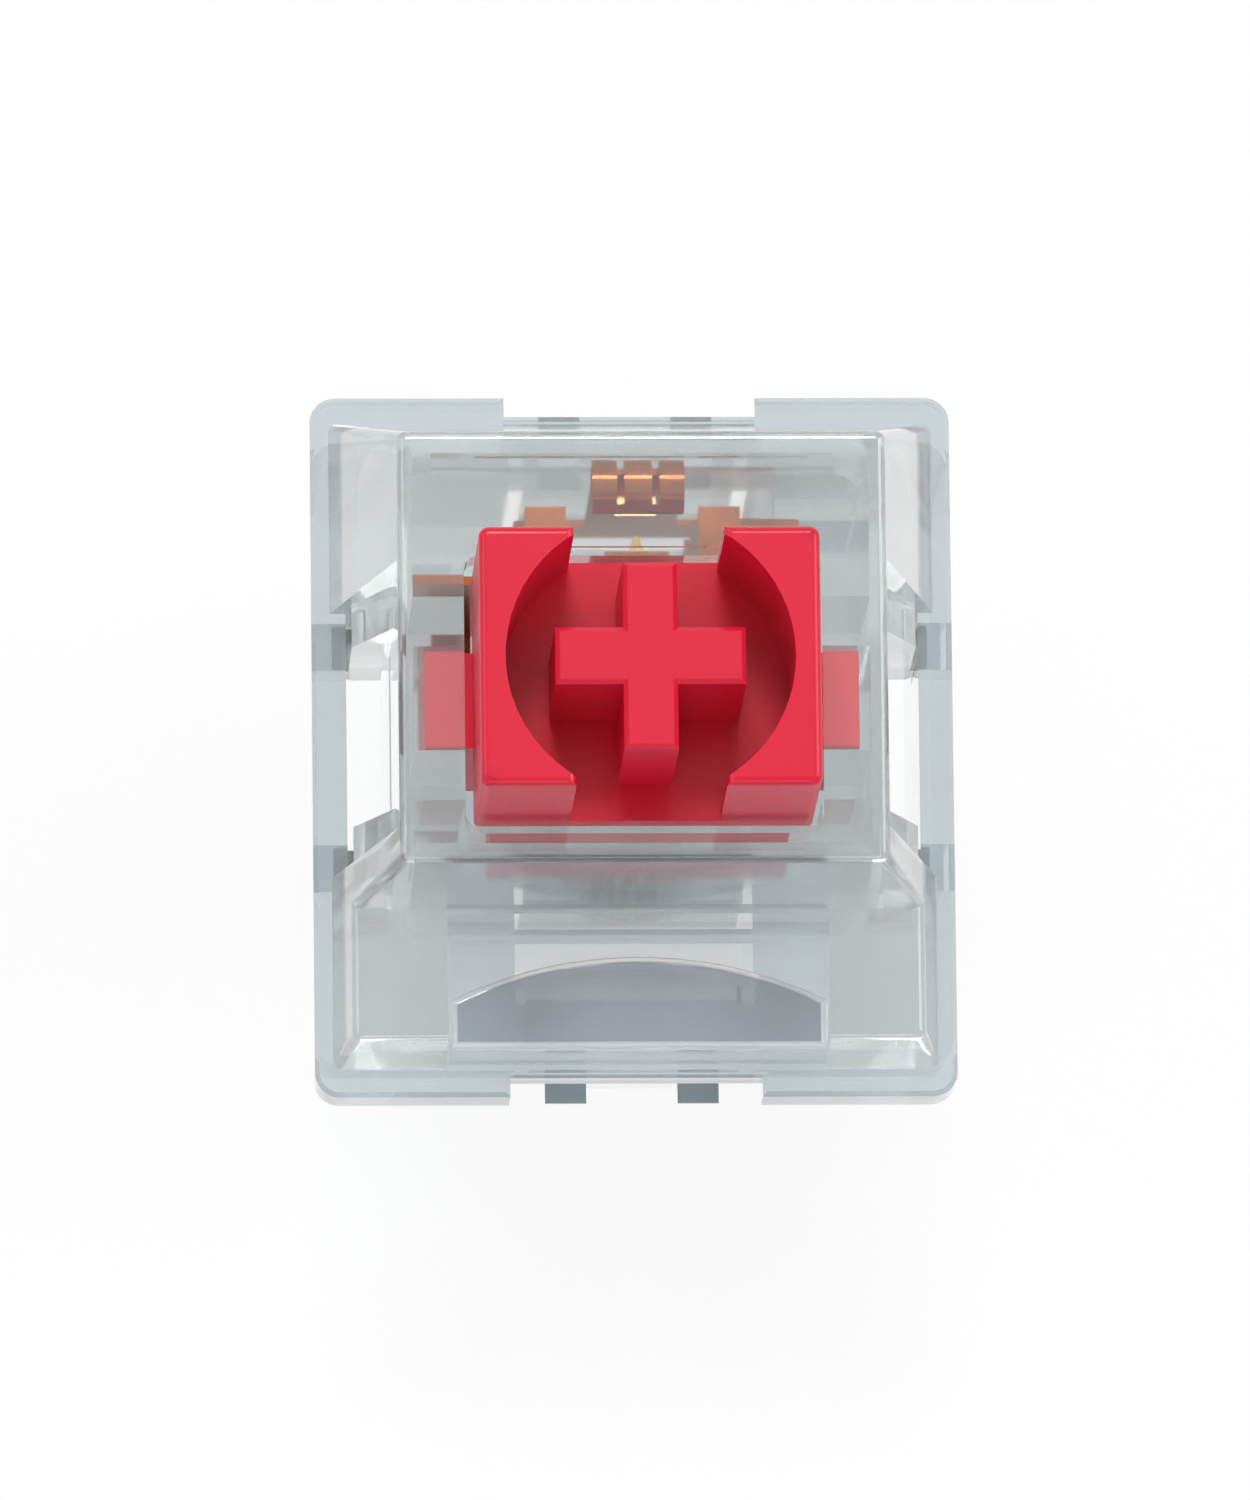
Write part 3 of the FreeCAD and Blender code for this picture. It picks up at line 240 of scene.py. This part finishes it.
def coloured_plastic(name, pale, deep, roughness):
    """Slightly translucent plastic with a faint change of tone."""
    material, tree, output = new_material(name)
    body = add(tree, "ShaderNodeBsdfPrincipled", IOR=RED_IOR, Roughness=roughness,
               Specular_IOR_Level=RED_MIRROR, Subsurface_Weight=SCATTER_SHARE,
               Subsurface_Scale=SCATTER_DEPTH, Subsurface_Radius=SCATTER_COLOURS)
    tone = mix_colours(tree, noise(tree, RED_GRAIN), deep, pale)
    tree.links.new(tone, body.inputs["Base Color"])
    tree.links.new(body.outputs["BSDF"], output.inputs["Surface"])
    return material


def sheet_metal(name, pale, deep, roughness, stretch=(1, 1, 1)):
    """Metal with rolling marks, which a stretch draws out along the sheet."""
    material, tree, output = new_material(name)
    body = add(tree, "ShaderNodeBsdfPrincipled", Metallic=1.0)
    marks = noise(tree, METAL_MARKS, detail=4.0, roughness=0.6, stretch=stretch)
    tone = mix_colours(tree, noise(tree, METAL_GRAIN), deep, pale)
    tree.links.new(tone, body.inputs["Base Color"])
    vary_roughness(tree, body, marks, roughness, 0.8, 1.25)
    bump_surface(tree, body, marks, *MARKS_BUMP)
    tree.links.new(body.outputs["BSDF"], output.inputs["Surface"])
    return material


def dress(node, material):
    """Gives a CAD node's every material slot one material."""
    piece = nodes[node]
    if not piece.material_slots:
        piece.data.materials.append(material)
    for place in piece.material_slots:
        place.material = material


# Objects

def place_object(name, data):
    """Puts a mesh, a lamp or a camera in the scene."""
    thing = bpy.data.objects.new(name, data)
    bpy.context.collection.objects.link(thing)
    return thing


def place_mesh(name, mesh):
    """Puts a finished bmesh in the scene."""
    data = bpy.data.meshes.new(name)
    mesh.to_mesh(data)
    mesh.free()
    return place_object(name, data)


# Return spring: round and smooth

def coil_point(turn):
    """The wire's centre after so many turns, closed up for one turn at each end."""
    low, high = SPRING_LOW + WIRE / 2 + COIL_GAP, SPRING_HIGH - WIRE / 2 - COIL_GAP
    closed = WIRE * COIL_CLOSED
    rise = (high - low - 2 * closed) / (COIL_TURNS - 2)
    if turn < 1:
        z = low + closed * turn
    elif turn < COIL_TURNS - 1:
        z = low + closed + rise * (turn - 1)
    else:
        z = high - closed * (COIL_TURNS - turn)
    angle = 2 * math.pi * turn
    return Vector((COIL_RADIUS * math.cos(angle), COIL_RADIUS * math.sin(angle), z))


def make_tube(name, points, radius, sides):
    """A round tube along points that turn about the Z axis, with closed ends."""
    mesh = bmesh.new()
    rings = []
    for i, point in enumerate(points):
        ahead = points[min(i + 1, len(points) - 1)]
        behind = points[max(i - 1, 0)]
        heading = (ahead - behind).normalized()
        up = (Vector((0, 0, 1)) - heading * heading.z).normalized()
        out = heading.cross(up)
        ring = []
        for k in range(sides):
            angle = 2 * math.pi * k / sides
            ring.append(mesh.verts.new(point + (up * math.cos(angle) + out * math.sin(angle)) * radius))
        rings.append(ring)
    for first, second in zip(rings, rings[1:]):
        for k in range(sides):
            n = (k + 1) % sides
            mesh.faces.new((first[k], second[k], second[n], first[n]))
    mesh.faces.new(rings[0])
    mesh.faces.new(list(reversed(rings[-1])))
    bmesh.ops.recalc_face_normals(mesh, faces=mesh.faces)
    tube = place_mesh(name, mesh)
    for face in tube.data.polygons:
        face.use_smooth = len(face.vertices) == 4
    return tube


def make_spring(material):
    """The spring as a round mesh fixed to the housing, in place of the CAD one."""
    points = [coil_point(i / COIL_STEPS) for i in range(COIL_TURNS * COIL_STEPS + 1)]
    spring = make_tube("return_spring_wire", points, WIRE / 2, WIRE_SIDES)
    spring.data.materials.append(material)
    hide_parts("return_spring")
    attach(spring, "housing")
    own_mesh(spring)


# Studio

def seen_directly(tree):
    """1 for rays that see a surface straight, in a mirror or through glass."""
    path = tree.nodes.new("ShaderNodeLightPath")
    seen = path.outputs["Is Camera Ray"]
    for kind in ("Is Glossy Ray", "Is Transmission Ray"):
        larger = tree.nodes.new("ShaderNodeMath")
        larger.operation = "MAXIMUM"
        tree.links.new(seen, larger.inputs[0])
        tree.links.new(path.outputs[kind], larger.inputs[1])
        seen = larger.outputs["Value"]
    return seen


def make_world():
    """White where it is seen, and a softer light where it only lights."""
    world = bpy.data.worlds.new("studio")
    bpy.context.scene.world = world
    world.use_nodes = True
    tree = world.node_tree
    tree.nodes.clear()
    output = tree.nodes.new("ShaderNodeOutputWorld")
    back = add(tree, "ShaderNodeBackground", Color=(1, 1, 1, 1))
    level = remap(tree, seen_directly(tree), 0.0, 1.0, WORLD_LIGHT, WORLD_SEEN)
    tree.links.new(level, back.inputs["Strength"])
    tree.links.new(back.outputs["Background"], output.inputs["Surface"])


def make_floor(level):
    """A white floor that keeps a soft shadow."""
    material, tree, output = new_material("floor_white")
    lit = add(tree, "ShaderNodeBsdfDiffuse", Color=(FLOOR_SHADE, FLOOR_SHADE, FLOOR_SHADE, 1))
    glow = add(tree, "ShaderNodeEmission", Color=(1, 1, 1, 1), Strength=1.0)
    share = remap(tree, seen_directly(tree), 0.0, 1.0, 0.0, FLOOR_GLOW)
    surface = mix_shaders(tree, share, lit.outputs["BSDF"], glow.outputs["Emission"])
    tree.links.new(surface, output.inputs["Surface"])
    mesh = bmesh.new()
    corners = ((-1, -1), (1, -1), (1, 1), (-1, 1))
    mesh.faces.new([mesh.verts.new((x * FLOOR_HALF, y * FLOOR_HALF, level)) for x, y in corners])
    floor = place_mesh("floor", mesh)
    floor.data.materials.append(material)


def make_lamp(name, place, size, power):
    """A soft rectangular lamp aimed at the switch."""
    light = bpy.data.lights.new(name, "AREA")
    light.shape = "RECTANGLE"
    light.size, light.size_y = size
    light.energy = power
    lamp = place_object(name, light)
    lamp.location = place
    lamp.rotation_euler = (AIM - Vector(place)).to_track_quat("-Z", "Y").to_euler()


def make_camera():
    """The photograph's camera, fitted to the flange, the stem's box and its cross."""
    level, rise = math.cos(VIEW_ELEVATION), math.sin(VIEW_ELEVATION)
    back = Vector((math.sin(VIEW_AZIMUTH) * level, -math.cos(VIEW_AZIMUTH) * level, rise))
    right = (-back).cross(Vector((0, 0, 1))).normalized()
    up = right.cross(-back)
    cos_roll, sin_roll = math.cos(VIEW_ROLL), math.sin(VIEW_ROLL)
    right, up = right * cos_roll + up * sin_roll, up * cos_roll - right * sin_roll
    off_right = (IMAGE_WIDE / 2 - AIM_PIXEL[0]) / PIXELS_PER_MM * MM
    off_up = (AIM_PIXEL[1] - IMAGE_TALL / 2) / PIXELS_PER_MM * MM
    lens = bpy.data.cameras.new("photo_camera")
    lens.sensor_fit = "VERTICAL"
    lens.sensor_height = SENSOR
    lens.lens = PIXELS_PER_MM * VIEW_DISTANCE / MM * SENSOR / IMAGE_TALL
    lens.clip_start, lens.clip_end = CLIP_NEAR, CLIP_FAR
    camera = place_object("photo_camera", lens)
    place = AIM + back * VIEW_DISTANCE + right * off_right + up * off_up
    turn = Matrix((right, up, back)).transposed()
    camera.matrix_world = Matrix.Translation(place) @ turn.to_4x4()
    bpy.context.scene.camera = camera


base_clear = clear_plastic("clear_base_plastic", (0.575, 0.635, 0.665), roughness=0.12,
                           shade=(0.91, 0.93, 0.935), clarity=0.85)
# clear cap plastic, tinted less blue and a little warmer than the base as a painted reflection of the
# copper under its roof
cap_clear_painted_warm = clear_plastic("clear_cap_plastic_painted_warm", (0.79, 0.8, 0.785), roughness=0.1,
                          shade=(0.76, 0.765, 0.76), clarity=0.96)
guide_frosted_with_painted_rim = clear_plastic("light_guide_plastic", (0.86, 0.89, 0.91), roughness=0.1,
                            shade=(0.87, 0.895, 0.905), clarity=0.7)
# frosted grey top, with a thin clear rim below it that paints a light band along the edge as a highlight
frost_top_and_paint_rim_highlight(guide_frosted_with_painted_rim, GUIDE_TOP, (0.3, 0.34, 0.38), clarity=0.32)
red = coloured_plastic("red_stem_plastic", pale=(0.69, 0.005, 0.037), deep=(0.64, 0.003, 0.029),
                       roughness=0.27)
copper = sheet_metal("copper_sheet", pale=(0.62, 0.19, 0.07), deep=(0.17, 0.045, 0.015),
                     roughness=0.2, stretch=(1, 1, 0.06))
gold = sheet_metal("gold_point", pale=(0.95, 0.74, 0.36), deep=(0.88, 0.64, 0.27), roughness=0.2)
steel = sheet_metal("spring_wire", pale=(0.75, 0.74, 0.72), deep=(0.62, 0.61, 0.6), roughness=0.25)

dress("lower_housing", base_clear)
dress("upper_housing", cap_clear_painted_warm)
dress("light_guide", guide_frosted_with_painted_rim)
dress("stem", red)
for copper_node in ("fixed_contact", "leaf_terminal", "contact_leaf"):
    dress(copper_node, copper)
for gold_node in ("fixed_contact_point", "leaf_contact_point"):
    dress(gold_node, gold)
make_spring(steel)

make_world()
make_floor(cad_box[0][2])
for lamp_facts in LAMPS:
    make_lamp(*lamp_facts)
make_camera()

bpy.context.scene.view_settings.view_transform = "Standard"
